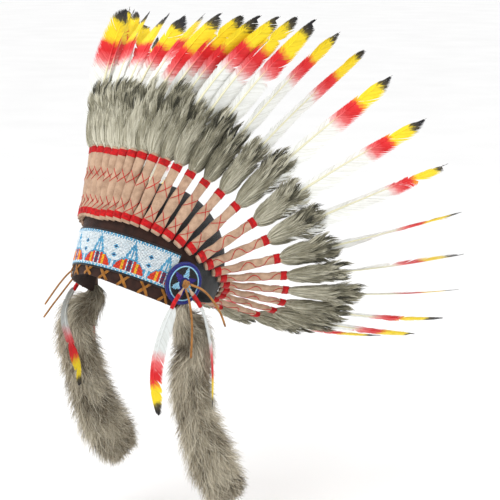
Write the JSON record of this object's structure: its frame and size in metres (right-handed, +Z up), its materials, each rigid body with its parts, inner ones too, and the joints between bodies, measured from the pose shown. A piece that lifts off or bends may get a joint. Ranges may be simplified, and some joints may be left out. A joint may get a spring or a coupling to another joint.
{
  "type": "feathered headdress",
  "caption": "Feathered headdress: felt cap with beaded brow band, rosettes, a trailing fan of dyed feathers in felt sheaths, and fur tails at the temples.",
  "frame": {"origin": "centre of the head opening, level with the middle of the cap's wall", "axes": "+Z up as worn, -Y towards the wearer's front, +X towards the wearer's left; the cap leans back 27 degrees"},
  "size_m": [0.512, 0.4605, 0.6015],
  "materials": {
    "felt": "black wool felt",
    "leather": "dark brown brushed leather",
    "band_beads": "opaque glass seed beads in white, pale blue, dark blue, orange, red and yellow",
    "rosette_beads": "opaque glass seed beads in royal blue, pale blue and black",
    "feather": "white feather dyed red, yellow and black at the tip, grey-brown fluff, fawn felt sheath with red thread",
    "pendant_feather": "white feather dyed red, yellow and black at the tip, tan sheath with red thread",
    "fur": "long grey-brown fur with dark tips",
    "suede": "tan suede"
  },
  "bodies": {
    "root": {"felt_cap": "felt", "brow_band": "leather", "bead_band": "band_beads", "rosette_left": "rosette_beads", "rosette_right": "rosette_beads", "thong_knot_left": "suede", "thong_knot_right": "suede", "feather_01": "feather", "feather_02": "feather", "feather_03": "feather", "feather_04": "feather", "feather_05": "feather", "feather_06": "feather", "feather_07": "feather", "feather_08": "feather", "feather_09": "feather", "feather_10": "feather", "feather_11": "feather", "feather_12": "feather", "feather_13": "feather", "feather_14": "feather", "feather_15": "feather", "feather_16": "feather", "feather_17": "feather", "feather_18": "feather", "feather_19": "feather", "feather_20": "feather", "feather_21": "feather", "feather_22": "feather", "feather_23": "feather", "feather_24": "feather", "feather_25": "feather", "feather_26": "feather", "feather_27": "feather", "feather_28": "feather", "feather_29": "feather", "feather_30": "feather", "feather_31": "feather", "feather_32": "feather", "feather_33": "feather", "feather_34": "feather", "feather_35": "feather", "feather_36": "feather", "feather_37": "feather", "fur_tail_left": "fur", "fur_tail_right": "fur", "pendant_feather_1": "pendant_feather", "pendant_feather_2": "pendant_feather", "pendant_feather_3": "pendant_feather", "pendant_feather_4": "pendant_feather", "thong_end_1": "suede", "thong_end_2": "suede", "thong_end_3": "suede", "thong_end_4": "suede"}
  },
  "joints": []
}
